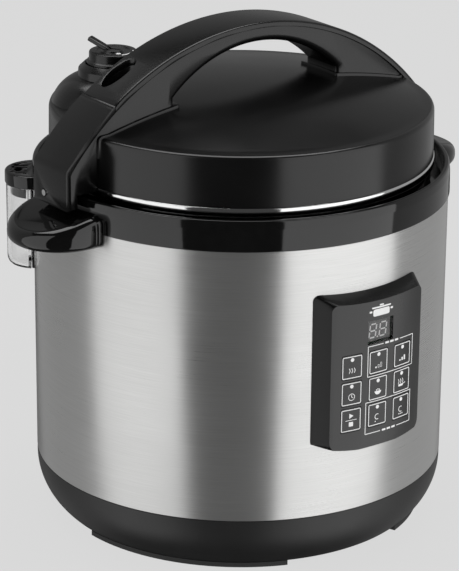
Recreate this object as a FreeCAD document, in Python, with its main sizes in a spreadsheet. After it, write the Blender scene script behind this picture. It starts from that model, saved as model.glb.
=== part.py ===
import FreeCAD, Part
import math
import os
import Sketcher

# Electric pressure cooker. Millimetres, +Z up, front (control panel) faces -Y,
# side handles along X. Origin: centre of the footprint, on the plane the feet stand on.

doc = FreeCAD.newDocument("pressure_cooker")
sheet = doc.addObject("Spreadsheet::Sheet", "Sizes")
SIZES = {}
NODES = {}


def sizes(**values):
    """Write driving dimensions into the spreadsheet, one row each."""
    for name, value in values.items():
        row = len(SIZES) + 1
        sheet.set("A%d" % row, name)
        sheet.set("B%d" % row, "%g" % value)
        sheet.setAlias("B%d" % row, name)
        SIZES[name] = float(value)


class Dim:
    """A number together with the spreadsheet expression that gives it."""

    def __init__(self, value, text):
        self.value = value
        self.text = text

    def __add__(self, other):
        other = dim(other)
        return Dim(self.value + other.value, "(%s + %s)" % (self.text, other.text))

    def __sub__(self, other):
        other = dim(other)
        return Dim(self.value - other.value, "(%s - %s)" % (self.text, other.text))

    def __mul__(self, factor):
        return Dim(self.value * factor, "(%s * %.6f)" % (self.text, factor))

    def __neg__(self):
        return Dim(-self.value, "(-1 * %s)" % self.text)


def dim(thing):
    if isinstance(thing, Dim):
        return thing
    if isinstance(thing, str):
        return Dim(SIZES[thing], "Sizes.%s" % thing)
    return Dim(float(thing), "%.6f" % thing)


def bind(obj, path, thing):
    """Drive one property of an object by an expression."""
    obj.setExpression(path, dim(thing).text)


def place(obj, x=0, y=0, z=0, axis=None, angle=0):
    turn = FreeCAD.Rotation(FreeCAD.Vector(*(axis or (0, 0, 1))), angle)
    obj.Placement = FreeCAD.Placement(
        FreeCAD.Vector(dim(x).value, dim(y).value, dim(z).value), turn)
    bind(obj, "Placement.Base.x", x)
    bind(obj, "Placement.Base.y", y)
    bind(obj, "Placement.Base.z", z)
    return obj


def box(label, x0, x1, y0, y1, z0, z1):
    obj = doc.addObject("Part::Box", label)
    bind(obj, "Length", dim(x1) - dim(x0))
    bind(obj, "Width", dim(y1) - dim(y0))
    bind(obj, "Height", dim(z1) - dim(z0))
    return place(obj, x0, y0, z0)


def cylinder(label, radius, z0, z1, x=0, y=0, sweep=360, start=0):
    """Upright cylinder, or a sector of one."""
    obj = doc.addObject("Part::Cylinder", label)
    bind(obj, "Radius", radius)
    bind(obj, "Height", dim(z1) - dim(z0))
    obj.Angle = sweep
    return place(obj, x, y, z0, (0, 0, 1), start)


def roller(label, radius, half, x, z, y=0):
    """Cylinder lying along Y, centred on y."""
    obj = doc.addObject("Part::Cylinder", label)
    bind(obj, "Radius", radius)
    bind(obj, "Height", dim(half) * 2)
    return place(obj, x, dim(y) + dim(half), z, (1, 0, 0), 90)


def pin_along_x(label, radius, x0, x1, y, z):
    obj = doc.addObject("Part::Cylinder", label)
    bind(obj, "Radius", radius)
    bind(obj, "Height", dim(x1) - dim(x0))
    return place(obj, x0, y, z, (0, 1, 0), 90)


def fuse(label, parts):
    obj = doc.addObject("Part::MultiFuse", label)
    obj.Shapes = parts
    return obj


def common(label, parts):
    obj = doc.addObject("Part::MultiCommon", label)
    obj.Shapes = parts
    return obj


def cut(label, base, tools):
    tool = tools[0] if len(tools) == 1 else fuse(label + "_tools", tools)
    obj = doc.addObject("Part::Cut", label)
    obj.Base = base
    obj.Tool = tool
    return obj


def group(label, parts):
    """Several separate solids of one kind under one name."""
    obj = doc.addObject("Part::Compound", label)
    obj.Links = parts
    return obj


def ring(label, outer, inner, z0, z1, sweep=360, start=0):
    return cut(label,
               cylinder(label + "_outer", outer, z0, z1, 0, 0, sweep, start),
               [cylinder(label + "_bore", inner, dim(z0) - 1, dim(z1) + 1)])


def fillet(label, base, radius, wanted):
    """Round every edge for which wanted(edge) is true."""
    doc.recompute()
    obj = doc.addObject("Part::Fillet", label)
    obj.Base = base
    obj.Edges = [(i + 1, radius, radius)
                 for i, edge in enumerate(base.Shape.Edges) if wanted(edge)]
    return obj


def at_height(z):
    """Edges lying wholly in the horizontal plane at z."""
    level = dim(z).value
    return lambda edge: (abs(edge.BoundBox.ZMin - level) < 0.01
                         and abs(edge.BoundBox.ZMax - level) < 0.01)


def outline(sketch, points):
    """Closed outline of (across, up) points; a third entry is the radius of the arc to the
    next point, or "dome" for an arc centred on the upright axis."""
    spots = [FreeCAD.Vector(dim(p[0]).value, dim(p[1]).value, 0) for p in points]
    ends = []
    for i, point in enumerate(points):
        a = spots[i]
        b = spots[(i + 1) % len(spots)]
        if len(point) > 2:
            half = (b - a).Length / 2
            dome = point[2] == "dome"
            rise = abs(b.y - a.y)
            bulge = half * half * 2 / rise if dome else dim(point[2]).value
            rise = abs(bulge) - math.sqrt(bulge * bulge - half * half)
            side = FreeCAD.Vector(-(b - a).y, (b - a).x, 0).normalize()
            middle = (a + b) * 0.5 - side * math.copysign(rise, bulge)
            flipped = (middle - a).cross(b - middle).z < 0
            arc = Part.Arc(b, middle, a) if flipped else Part.Arc(a, middle, b)
            index = sketch.addGeometry(arc, False)
            ends.append((index, 2 if flipped else 1, 1 if flipped else 2))
            if dome:
                sketch.addConstraint(Sketcher.Constraint("PointOnObject", index, 3, -2))
            else:
                sketch.addConstraint(Sketcher.Constraint("Radius", index, abs(bulge)))
        else:
            index = sketch.addGeometry(Part.LineSegment(a, b), False)
            ends.append((index, 1, 2))
    for i, point in enumerate(points):
        index, first, last = ends[i]
        after = ends[(i + 1) % len(ends)]
        sketch.addConstraint(Sketcher.Constraint("Coincident", index, last, after[0], after[1]))
        for kind, size, axis in (("DistanceX", dim(point[0]), -2), ("DistanceY", dim(point[1]), -1)):
            if abs(size.value) < 1e-9:
                sketch.addConstraint(Sketcher.Constraint("PointOnObject", index, first, axis))
                continue
            number = sketch.addConstraint(
                Sketcher.Constraint(kind, -1, 1, index, first, size.value))
            sketch.setExpression("Constraints[%d]" % number, size.text)


def sketch_on(body, role, lift=0):
    sketch = body.newObject("Sketcher::SketchObject", body.Name + "_sketch")
    plane = next(o for o in body.Origin.OriginFeatures if o.Role == role)
    sketch.AttachmentSupport = [(plane, "")]
    sketch.MapMode = "FlatFace"
    sketch.setExpression("AttachmentOffset.Base.z", dim(lift).text)
    return sketch


def turned(label, points):
    """Body of revolution about Z from an outline of (radius, height) points."""
    body = doc.addObject("PartDesign::Body", label)
    sketch = sketch_on(body, "XZ_Plane")
    outline(sketch, points)
    spin = body.newObject("PartDesign::Revolution", label + "_spin")
    spin.Profile = sketch
    spin.ReferenceAxis = (sketch, ["V_Axis"])
    spin.Angle = 360
    sketch.Visibility = False
    body.Tip = spin
    return body


def padded(label, points, z0, height):
    body = doc.addObject("PartDesign::Body", label)
    sketch = sketch_on(body, "XY_Plane", z0)
    outline(sketch, points)
    pad = body.newObject("PartDesign::Pad", label + "_pad")
    pad.Profile = sketch
    bind(pad, "Length", height)
    body.Tip = pad
    return body


def lugs(label, outer, inner, z0, z1, first):
    """Six bayonet lugs spread round Z."""
    made = []
    for i in range(LUG_COUNT):
        start = first + i * 360.0 / LUG_COUNT - LUG_SWEEP / 2
        made.append(ring("%s_%d" % (label, i + 1), outer, inner, z0, z1, LUG_SWEEP, start))
    return made


def node(name, obj):
    obj.Label = name
    NODES[name] = obj
    return obj


LUG_COUNT = 6
LUG_SWEEP = 26.0
EAR_SLOPE = 7.5

sizes(shell_radius=135, shell_wall=0.8, shell_top=218, base_height=38.5, base_foot_radius=121,
      base_skirt_top=44, foot_height=3.2, foot_inner=104, plate_radius=98, skin=2.6,
      inlet_face=142)
sizes(collar_radius=135.7, collar_top=237.7, collar_bore=128.2, trough_floor=219.6,
      pot_bore=115.5, pot_wall=2.5, pot_floor=58, pot_top=236, lug_radius=121.3)
sizes(inner_radius=110.5, inner_wall=1.5, inner_floor=72.5, inner_top=226, inner_rim=114.5)
sizes(lid_radius=124.7, lid_base=242.5, lid_shoulder=270, lid_edge=274.2, lid_crown=289,
      skirt_radius=123.4, skirt_wall=1.6, skirt_foot=227.5, lid_disc=247.5)
sizes(arch_radius=179.6, arch_height=149.9, arch_shift=2.7, grip_half=18.1, cover_depth=3.6,
      arm_face=147.8, arm_foot=231.6, arm_back=138.6, seam_across=110.8, cover_end=142,
      web_end=121,
      grip_gap_half=64.8, grip_gap_radius=92.5, grip_gap_height=224, web_half=17.3)
sizes(valve_across=66.8, valve_back=48.7, knob_radius=15.5, knob_top=307.2, mound_radius=41,
      mound_top=291.5, float_across=91, float_back=6.8, float_radius=3)
sizes(ear_half=33.6, ear_centre=140.4, ear_foot=208.6, ear_top=229.5, ear_skin=4)
sizes(cup_centre=134, cup_radius=19, cup_wall=1.6, cup_foot=162.7, cup_top=218,
      cap_radius=19.8, cap_top=226.9, rail_foot=159.2)
sizes(panel_radius=146, panel_back=135.2, panel_skin=2.2, key_width=14.2, key_height=15.8,
      key_pitch_up=17.7, key_middle=123.1, key_clear=0.35, window_width=20, window_height=15.6,
      window_middle=161, belly_radius=173, belly_height=256.5)
doc.recompute()

# ---------------------------------------------------------------- base and shell
base_shell = turned("base_shell", [
    ("plate_radius", "foot_height"), ("base_foot_radius", "foot_height", 42.0),
    (dim("shell_radius") - 0.2, "base_height"), (134.1, "base_height"),
    (134.1, "base_skirt_top"), (131.6, "base_skirt_top"),
    (131.6, dim("base_height") + 1, -39.0), (118.5, dim("foot_height") + dim("skin")),
    ("plate_radius", dim("foot_height") + dim("skin"))])
inlet_gap = box("inlet_gap", -14.2, 14.2, 105, 140, 9.6, 32.6)
node("base_bowl", cut("base_bowl", base_shell, [inlet_gap]))

plate = cylinder("plate_disc", dim("plate_radius") - 0.2, "foot_height",
                 dim("foot_height") + 2)
vents = []
for i in range(-3, 4):
    vents.append(box("vent_%d" % (i + 4), -30, 30, i * 8 - 1.5, i * 8 + 1.5, 0, 10))
plate_holes = []
for i in range(3):
    turn = math.radians(30 + 120 * i)
    plate_holes.append((88 * math.cos(turn), 88 * math.sin(turn)))
holes = [cylinder("plate_hole_%d" % i, 2.1, 0, 10, x, y)
         for i, (x, y) in enumerate(plate_holes)]
node("base_plate", cut("base_plate", plate, vents + holes))
posts = []
screws = []
for i, (x, y) in enumerate(plate_holes):
    screws.append(fuse("base_screw_%d" % i, [
        cylinder("base_screw_shank_%d" % i, 2, 3.0, 14, x, y),
        cylinder("base_screw_head_%d" % i, 4, 1.4, 3.1, x, y)]))
    posts.append(cut("base_post_%d" % i,
                     cylinder("base_post_rod_%d" % i, 5, 5.3, 57.8, x, y),
                     [cylinder("base_post_bore_%d" % i, 2.05, 5, 16, x, y)]))
node("base_screws", group("base_screws", screws))
node("support_posts", group("support_posts", posts))

feet = []
for i, middle in enumerate((-145.0, -35.0, 90.0)):
    feet.append(ring("foot_%d" % (i + 1), dim("base_foot_radius") + 0.4, "foot_inner",
                     0, "foot_height", 67, middle - 33.5))
node("feet", group("feet", feet))

node("outer_sleeve", turned("outer_sleeve", [
    (dim("shell_radius") - dim("shell_wall"), "base_height"), ("shell_radius", "base_height"),
    ("shell_radius", "shell_top"), (dim("shell_radius") - dim("shell_wall"), "shell_top")]))

node("collar", turned("collar", [
    (131.5, 208), (134.0, 208), (134.0, "shell_top"), ("collar_radius", "shell_top"),
    ("collar_radius", 231.5, 9.0), (133.4, "collar_top"), (dim("collar_bore") + 2.8, "collar_top", 3.2),
    ("collar_bore", dim("collar_top") - 2.8), ("collar_bore", 222), (130.6, 222), (130.6, 235),
    (132.6, 235), (133, 219.5), (131.5, 218)]))

# ---------------------------------------------------------------- side handles
def on_ear_top(edge):
    """Edges lying wholly in the sloping top face of a side handle."""
    slope = math.tan(math.radians(EAR_SLOPE))
    level = SIZES["ear_top"]
    reach = SIZES["collar_radius"]
    return all(abs(level - slope * (p.x - reach) - p.z) < 0.02 for p in edge.discretize(5))


def ear(name, side):
    high = dim("ear_top") + 8
    slab = fuse(name + "_slab", [
        box(name + "_root", 120, "ear_centre", -dim("ear_half"), "ear_half", "ear_foot", high),
        cylinder(name + "_end", "ear_half", "ear_foot", high, "ear_centre", 0)])
    slab.Refine = True
    above = doc.addObject("Part::Box", name + "_above")
    above.Length = 200
    above.Width = 200
    above.Height = 60
    turn = FreeCAD.Rotation(FreeCAD.Vector(0, 1, 0), EAR_SLOPE)
    hinge = FreeCAD.Vector(SIZES["collar_radius"], 0, SIZES["ear_top"])
    above.Placement = FreeCAD.Placement(hinge + turn.multVec(FreeCAD.Vector(-80, -100, 0)), turn)
    sloped = cut(name + "_sloped", slab, [above])
    top = fillet(name + "_top", sloped, 7.0, on_ear_top)
    both = fillet(name + "_both", top, 6.0, at_height("ear_foot"))
    hollow = fuse(name + "_hollow", [
        box(name + "_hollow_root", 139.5, "ear_centre", -26, 26, 200, 221.5),
        cylinder(name + "_hollow_end", dim("ear_half") - dim("ear_skin") - 3.6, 200, 221.5,
                 "ear_centre", 0)])
    bore = cylinder(name + "_seat", "collar_radius", 190, 250)
    keep = box(name + "_keep", 139.5, 200, -60, 60, 190, 222)
    pocket = common(name + "_pocket", [hollow, keep])
    obj = cut(name, both, [bore, pocket])
    angle = 0 if side > 0 else 180
    place(obj, 0, 0, 0, (0, 0, 1), angle)
    return node(name, obj)


ear("left_handle", -1)
ear("right_handle", 1)

# ---------------------------------------------------------------- locking pot and heater
pot_outer = dim("pot_bore") + dim("pot_wall")
pot_shell = turned("pot_shell", [
    (80, "pot_floor"), (pot_outer - 12, "pot_floor", 12.0), (pot_outer, dim("pot_floor") + 12),
    (pot_outer, "pot_top"), ("pot_bore", "pot_top"),
    ("pot_bore", dim("pot_floor") + 12, -9.5), (pot_outer - 12, dim("pot_floor") + 2.5),
    (80, dim("pot_floor") + 2.5)])
gutter = ring("pot_gutter", 131.2, pot_outer - 0.5, "trough_floor", dim("trough_floor") + 1.8)
node("locking_pot", fuse("locking_pot", [pot_shell, gutter] + lugs(
    "pot_lug", "lug_radius", pot_outer - 0.5, 232.5, 235.5, 0)))

node("pot_cradle", turned("pot_cradle", [
    (96, 56.4), (112, 56.4), (129.5, 44.2), (133.8, 44.2), (133.8, 45.8), (130.2, 45.8),
    (112.5, 57.9), (96, 57.9)]))

node("heating_plate", turned("heating_plate", [
    (13.5, 62), (70, 62), (76, 60.6), (92, 60.6), (92, 68.5, 12.0), (84, 72.2), (13.5, 72.2)]))
element = doc.addObject("Part::Torus", "element_ring")
element.Radius1 = 62
element.Radius2 = 3.8
place(element, 0, 0, 58)
tails = [box("element_tail_%d" % i, 58 + 5 * i, 61 + 5 * i, -14, -11, 44, 58) for i in range(2)]
node("heating_element", fuse("heating_element", [element] + tails))

sensor_cap = turned("sensor_cap", [
    (0, 42), (3, 42), (3, 64), (12, 64), (12, 71.2), (11, 72.1), (0, 72.1)])
node("sensor_cap", sensor_cap)
node("sensor_bracket", cut("sensor_bracket", box("bracket_bar", -14, 14, -50, 50, 51, 53),
                           [cylinder("bracket_hole", 3.4, 45, 60)]))
coil = doc.addObject("Part::Feature", "sensor_spring")
pitch = 1.95
wire = Part.makeHelix(pitch, 9.3, 5.6)
section = Part.Wire([Part.makeCircle(0.5, FreeCAD.Vector(5.6, 0, 0), FreeCAD.Vector(0, 1, 0))])
coil.Shape = Part.Wire(wire).makePipeShell([section], True, True)
place(coil, 0, 0, 53.6)
node("sensor_spring", coil)

switch_body = box("switch_case", 60, 80, -60, -46, 32, 48)
switch_plunger = cylinder("switch_plunger", 2, 48, 57.6, 70, -53)
node("pressure_switch", fuse("pressure_switch", [switch_body, switch_plunger]))
node("thermal_fuse", cylinder("thermal_fuse", 3, 52, 57.6, -60, -46))

board = box("board", -55, 35, -30, 55, 14, 15.6)
relay = box("relay", -48, -28, 10, 34, 15.6, 31)
transformer = box("transformer", -15, 15, -20, 12, 15.6, 36)
capacitor = cylinder("capacitor", 6, 15.6, 36, 25, 38)
node("power_board", fuse("power_board", [board, relay, transformer, capacitor]))
standoffs = [cylinder("standoff_%d" % i, 3, 5.2, 14, x, y)
             for i, (x, y) in enumerate(((-50, -26), (31, -26), (-50, 51), (31, 51)))]
node("board_standoffs", group("board_standoffs", standoffs))

socket = cut("socket_case", box("socket_block", -13.8, 13.8, 108, "inlet_face", 10, 32.2),
             [box("socket_well", -11, 11, 114, 160, 12.5, 29.5)])
blades = [box("blade_%d" % i, x - 1, x + 1, 112, 127, z - 2.5, z + 2.5)
          for i, (x, z) in enumerate(((-6, 19), (0, 24), (6, 19)))]
node("inlet_case", socket)
blade_trim = [cut("inlet_blade_%d" % i, blade, [box("blade_trim_%d" % i, -20, 20, 100, 114, 0, 40)])
              for i, blade in enumerate(blades)]
node("inlet_pins", group("inlet_pins", blade_trim))

# ---------------------------------------------------------------- control panel
PANEL_LEAN = 0.4
panel_half_face = 35.5
panel_face_top = 183.0
panel_face_foot = 83.5
panel_face_y = 142.0


def wedge(label, inset):
    """Block that narrows toward the front, walls inset by the given amount."""
    front = 152.0
    back = 118.0
    near = (front - panel_face_y) * PANEL_LEAN
    far = (panel_face_y - back) * PANEL_LEAN
    obj = doc.addObject("Part::Wedge", label)
    obj.Ymin = -front
    obj.Ymax = -back
    obj.X2min = -(panel_half_face + far - inset)
    obj.X2max = panel_half_face + far - inset
    obj.Z2min = panel_face_foot - 0.5 * far + inset
    obj.Z2max = panel_face_top + 0.9 * far - inset
    obj.Xmin = -(panel_half_face - near - inset)
    obj.Xmax = panel_half_face - near - inset
    obj.Zmin = panel_face_foot + 0.5 * near + inset
    obj.Zmax = panel_face_top - 0.9 * near - inset
    return obj


def long_edges(low, high):
    return lambda edge: (edge.BoundBox.YLength > 20
                         and low < edge.BoundBox.Center.z < high)


outer_wedge = wedge("panel_wedge", 0.0)
soft_top = fillet("panel_soft_top", outer_wedge, 4.0, long_edges(150, 220))
soft_wedge = fillet("panel_soft", soft_top, 9.0, long_edges(50, 120))
inner_wedge = wedge("panel_inner_wedge", SIZES["panel_skin"])
belly = roller("panel_belly", "belly_radius", 160, 0, "belly_height")
panel_body = common("panel_body", [soft_wedge, belly, ring(
    "panel_slab", "panel_radius", "panel_back", 60, 220)])
panel_hollow = common("panel_hollow", [inner_wedge, cylinder(
    "panel_core", dim("panel_radius") - dim("panel_skin"), 60, 220)])
KEY_TURNS = (-8.3, -0.5, 7.4)


def key_block(label, column, row, grow, depth_in, outer):
    half = SIZES["key_width"] / 2 + grow
    up = SIZES["key_height"] / 2 + grow
    middle = dim("key_middle") + dim("key_pitch_up") * (1 - row)
    block = box(label + "_box", -half, half, -160, -depth_in, middle - up, middle + up)
    shaped = common(label, [block, cylinder(label + "_face", outer, 80, 190)])
    shaped.Placement = FreeCAD.Placement(
        FreeCAD.Vector(0, 0, 0), FreeCAD.Rotation(FreeCAD.Vector(0, 0, 1), KEY_TURNS[column]))
    return shaped


cutters = [panel_hollow]
for row in range(3):
    for column in range(3):
        cutters.append(key_block("key_gap_%d%d" % (row, column), column, row,
                                 SIZES["key_clear"], 138.0, 150.0))
window_half = dim("window_width") * 0.5
window_up = dim("window_height") * 0.5
cutters.append(box("window_gap", -window_half, window_half, -160, -138,
                   dim("window_middle") - window_up, dim("window_middle") + window_up))
node("panel_bezel", cut("panel_bezel", panel_body, cutters))
KEY_NAMES = (("key_warm", "key_pressure_low", "key_pressure_high"),
             ("key_timer", "key_rice", "key_brown"),
             ("key_start_stop", "key_slow_low", "key_slow_high"))
for row in range(3):
    for column in range(3):
        name = KEY_NAMES[row][column]
        node(name, key_block(name, column, row, 0.0, 141.6, 146.1))
node("display_lens", common("display_lens", [
    box("lens_block", -window_half, window_half, -160, -138,
        dim("window_middle") - window_up, dim("window_middle") + window_up),
    ring("lens_ring", dim("panel_radius") - 0.4, dim("panel_radius") - 1.8, 150, 175)]))
node("display_module", box("display_module", -9.4, 9.4, -143.3, -138.5, 154, 168))
node("key_board", box("key_board", -29, 29, -138.2, -136.8, 94, 176))
node("control_board", box("control_board", -28, 28, -126.6, -125, 100, 180))

# ---------------------------------------------------------------- condensation cup
CUP_TURN = 143.1


def swing(obj):
    obj.Placement = FreeCAD.Placement(
        FreeCAD.Vector(0, 0, 0), FreeCAD.Rotation(FreeCAD.Vector(0, 0, 1), CUP_TURN))
    return obj


cup_solid = fillet("cup_soft", cylinder("cup_can", "cup_radius", "cup_foot", "cup_top",
                                        "cup_centre", 0), 6.0, at_height("cup_foot"))
cup_outer = cut("cup_outer", cup_solid, [cylinder("cup_back", 137.2, 100, 260)])
cup_room = fillet("cup_room", cylinder("cup_void", dim("cup_radius") - dim("cup_wall"),
                                       dim("cup_foot") + 1.8, 240, "cup_centre", 0),
                  5.0, at_height(dim("cup_foot") + 1.8))
cup_inner = cut("cup_inner", cup_room, [cylinder("cup_back_wall", 138.8, 100, 260)])
node("condensation_cup", swing(cut("condensation_cup", cup_outer, [cup_inner])))
cap = fuse("cap_all", [
    cut("cap_shelf", cylinder("cap_disc", "cap_radius", 218.5, "cap_top", "cup_centre", 0),
        [cylinder("cap_seat", "collar_radius", 200, 250)]),
    cut("cap_spigot", cylinder("spigot_can", 16.3, 211, 218.6, "cup_centre", 0),
        [cylinder("spigot_back", 139.6, 200, 250)])])
drain = cylinder("cap_drain", 3, 205, 240, 145, 0)
rail = cut("cup_rail", box("rail_bar", 120, 136.8, -4, 4, "rail_foot", 218.6),
           [cylinder("rail_seat", "shell_radius", 100, 250)])
node("cup_bracket", swing(cut("cup_bracket", fuse("cup_bracket_all", [cap, rail]), [
    drain, cylinder("cap_collar_seat", "collar_radius", "shell_top", 250)])))

# ---------------------------------------------------------------- inner pot
node("inner_pot", turned("inner_pot", [
    (0, "inner_floor"), (dim("inner_radius") - 14, "inner_floor", 14.0),
    ("inner_radius", dim("inner_floor") + 14), ("inner_radius", dim("inner_top") - 1.4),
    ("inner_rim", dim("inner_top") - 1.4), ("inner_rim", "inner_top"),
    (dim("inner_radius") - dim("inner_wall"), "inner_top"),
    (dim("inner_radius") - dim("inner_wall"), dim("inner_floor") + 14, -12.5),
    (dim("inner_radius") - 14, dim("inner_floor") + dim("inner_wall")),
    (0, dim("inner_floor") + dim("inner_wall"))]))

# ---------------------------------------------------------------- lid
node("sealing_ring", turned("sealing_ring", [
    (109, 238.4), (115.7, 238.4), (115.7, 236.3), (119.8, 236.3), (119.8, 240.6), (109, 240.6)]))

skirt_inner = dim("skirt_radius") - dim("skirt_wall")
LID_HOLES = ((74, 0), (94, 0), (-72, 0))
lid_pan = turned("lid_pan", [
    (0, dim("lid_disc") - 1.6), (103.2, dim("lid_disc") - 1.6), (107.2, 240.9),
    (skirt_inner, 240.9), (skirt_inner, "skirt_foot"), ("skirt_radius", "skirt_foot"),
    ("skirt_radius", "lid_base"), (108, "lid_base"), (104, "lid_disc"), (0, "lid_disc")])
lid_union = fuse("lid_union", [lid_pan] + lugs(
    "lid_lug", skirt_inner + 0.5, 118.7, 228, 231, 30))
stem_at = (-dim("valve_across"), "valve_back")
float_at = (-dim("float_across"), "float_back")
lid_bores = [cylinder("stem_bore", 5.2, 230, 260, *stem_at),
             cylinder("float_bore", 3.6, 230, 260, *float_at)]
for i, (x, y) in enumerate(LID_HOLES):
    lid_bores.append(cylinder("lid_screw_bore_%d" % i, 2.1, 230, 260, x, y))
node("inner_lid", cut("inner_lid", lid_union, lid_bores))

crown = turned("crown", [
    (0, "lid_base"), ("lid_radius", "lid_base"), (124.2, "lid_shoulder", 4.5),
    (120.4, "lid_edge", "dome"), (0, "lid_crown")])
crown_room = turned("crown_room", [
    (0, 240), (122.1, 240), (121.6, dim("lid_shoulder") - 0.5, 2.5),
    (119.8, dim("lid_edge") - 2.6, "dome"), (0, dim("lid_crown") - 2.6)])
mound = turned("mound", [
    (0, 262), ("mound_radius", 262), ("mound_radius", 268, 32.0), (25, 290.2), (22, "mound_top"),
    (0, "mound_top")])
place(mound, *stem_at)
mound_room = turned("mound_room", [
    (0, 240), (38.6, 240), (38.6, 267, 29.5), (23, 287.4), (0, 287.4)])
place(mound_room, *stem_at)
rim_limit = cylinder("rim_limit", 124.2, 255, 300)
rim_room = cylinder("rim_room", 121.6, 230, 300)
mound_cut = common("mound_cut", [mound, rim_limit])
room_cut = common("room_cut", [mound_room, rim_room])
shell_all = fuse("cover_all", [crown, mound_cut])
cover_bores = [crown_room, room_cut,
               cylinder("cover_stem_bore", 8, 240, 300, *stem_at),
               cylinder("cover_float_bore", 5.5, 240, 310, *float_at)]
for i, (x, y) in enumerate(LID_HOLES):
    cover_bores.append(cylinder("cover_screw_bore_%d" % i, 2.1, 240, 300, x, y))
node("lid_cover", cut("lid_cover", shell_all, cover_bores))

# Arched handle: top skin split into the grip cover and the arm, web underneath.
arch_x = -dim("arch_shift")


def arch_block(label, inset, half, left, end):
    rim = roller(label + "_rim", dim("arch_radius") - inset, half, arch_x, "arch_height")
    limit = box(label + "_limit", -dim("arm_face") + left, end, -60, 60, "arm_foot", 400)
    return common(label, [rim, limit])


skin_outer = arch_block("skin_outer", 0, "grip_half", 0, "cover_end")
skin_inner = arch_block("skin_inner", "cover_depth", dim("grip_half") + 5, "cover_depth", "cover_end")
skin_block = cut("skin_block", skin_outer, [skin_inner])
oval = doc.addObject("Part::Feature", "float_window")
ellipse = Part.Ellipse(FreeCAD.Vector(0, 0, 0), 12.3, 7.2)
oval.Shape = Part.Face(Part.Wire(ellipse.toShape())).extrude(FreeCAD.Vector(0, 0, 60))
place(oval, -dim("float_across"), "float_back", 270)
left_limit = box("left_limit", -200, -dim("seam_across") - 0.15, -60, 60, 200, 400)
right_limit = box("right_limit", -dim("seam_across") + 0.15, 200, -60, 60, 200, 400)
pin_y = 6.8
pin_z = 237.8
node("handle_arm", cut("handle_arm", common("arm_skin", [skin_block, left_limit]), [
    pin_along_x("arm_pin_bore", 2.6, -160, -130, pin_y, pin_z)]))
node("handle_cover", cut("handle_cover", common("cover_skin", [skin_block, right_limit]),
                         [oval, crown]))
web_block = arch_block("web_block", "cover_depth", "web_half", "cover_depth", "web_end")
gap = common("grip_gap", [
    roller("grip_gap_round", "grip_gap_radius", 40, 0, "grip_gap_height"),
    box("grip_gap_box", -dim("grip_gap_half"), "grip_gap_half", -40, 40, 250, 330)])
float_window = doc.addObject("Part::Feature", "web_window")
float_window.Shape = Part.Face(Part.Wire(ellipse.toShape())).extrude(FreeCAD.Vector(0, 0, 90))
place(float_window, -dim("float_across"), "float_back", 289)
web_tools = [gap, crown, mound_cut, cylinder("web_float_bore", 5.5, 240, 320, *float_at),
             float_window,
             cylinder("web_collar_room", "arm_back", 200, 240.2),
             cylinder("web_lid_room", "lid_radius", 200, 250),
             cylinder("web_wall_room", "lid_radius", 200, 271),
             pin_along_x("web_pin_bore", 3.4, -160, -120, pin_y, pin_z)]
for i, (x, y) in enumerate(LID_HOLES):
    web_tools.append(cylinder("web_screw_bore_%d" % i, 2.05, 240, 296, x, y))
node("handle_web", cut("handle_web", web_block, web_tools))
lid_screws = []
for i, (x, y) in enumerate(LID_HOLES):
    lid_screws.append(fuse("lid_screw_%d" % i, [
        cylinder("lid_screw_shank_%d" % i, 2, 245, 292, x, y),
        cylinder("lid_screw_head_%d" % i, 4, 243.6, 245.9, x, y)]))
node("lid_screws", group("lid_screws", lid_screws))
node("lock_pin", fuse("lock_pin", [
    pin_along_x("lock_pin_tip", 2, -148.2, -143, pin_y, pin_z),
    pin_along_x("lock_pin_collar", 3, -144, -142.6, pin_y, pin_z)]))

# ---------------------------------------------------------------- valve and float
stem_shape = turned("stem_body", [
    (1.6, 240), (7.5, 240), (7.5, 245.8), (5, 245.8), (5, 252), (3.6, 252), (3.6, 300),
    (1.6, 300)])
place(stem_shape, *stem_at)
node("valve_stem", stem_shape)
nut = turned("nut_body", [(5.3, 247.6), (9.5, 247.6), (9.5, 251.5), (5.3, 251.5)])
place(nut, *stem_at)
node("valve_nut", nut)
shield = turned("shield_body", [
    (10.3, 234), (11.8, 234), (11.8, 245.8), (8, 245.8), (8, 244.4), (10.3, 244.4)])
place(shield, *stem_at)
node("valve_shield", shield)
knob_body = turned("knob_body", [
    (4, 296), (16, 296), (17.4, 297), (17, 301.2), ("knob_radius", 301.8),
    ("knob_radius", dim("knob_top") - 1, 1.0), (dim("knob_radius") - 1, "knob_top"),
    (6.4, "knob_top"), (6.4, dim("knob_top") + 0.8), (0, dim("knob_top") + 0.8), (0, 300.6),
    (4, 300.6)])
lever_tip = box("lever_tip", 0, 15.8, -2.6, 2.6, 0, 2.8)
place(lever_tip, 3, -2.6, 305.8, (0, 1, 0), -24)
knob = fuse("valve_knob", [knob_body, lever_tip])
knob.Placement = FreeCAD.Placement(
    FreeCAD.Vector(-SIZES["valve_across"], SIZES["valve_back"], 0),
    FreeCAD.Rotation(FreeCAD.Vector(0, 0, 1), 120))
node("valve_knob", knob)
seat = turned("seat_body", [
    (6, 291.6), (20.5, 291.6), (20.5, 293.2), (18.5, 295.4), (6, 295.4)])
place(seat, *stem_at)
node("valve_seat", seat)

float_body = turned("float_body", [
    (0, 235.6), (6.2, 235.6), (6.2, 239), ("float_radius", 239), ("float_radius", 288), (0, 288)])
place(float_body, *float_at)
node("float_valve", float_body)
gasket = turned("gasket_body", [
    (dim("float_radius"), 239), (6.5, 239), (6.5, 240.4), (dim("float_radius"), 240.4)])
place(gasket, *float_at)
node("float_gasket", gasket)

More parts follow.
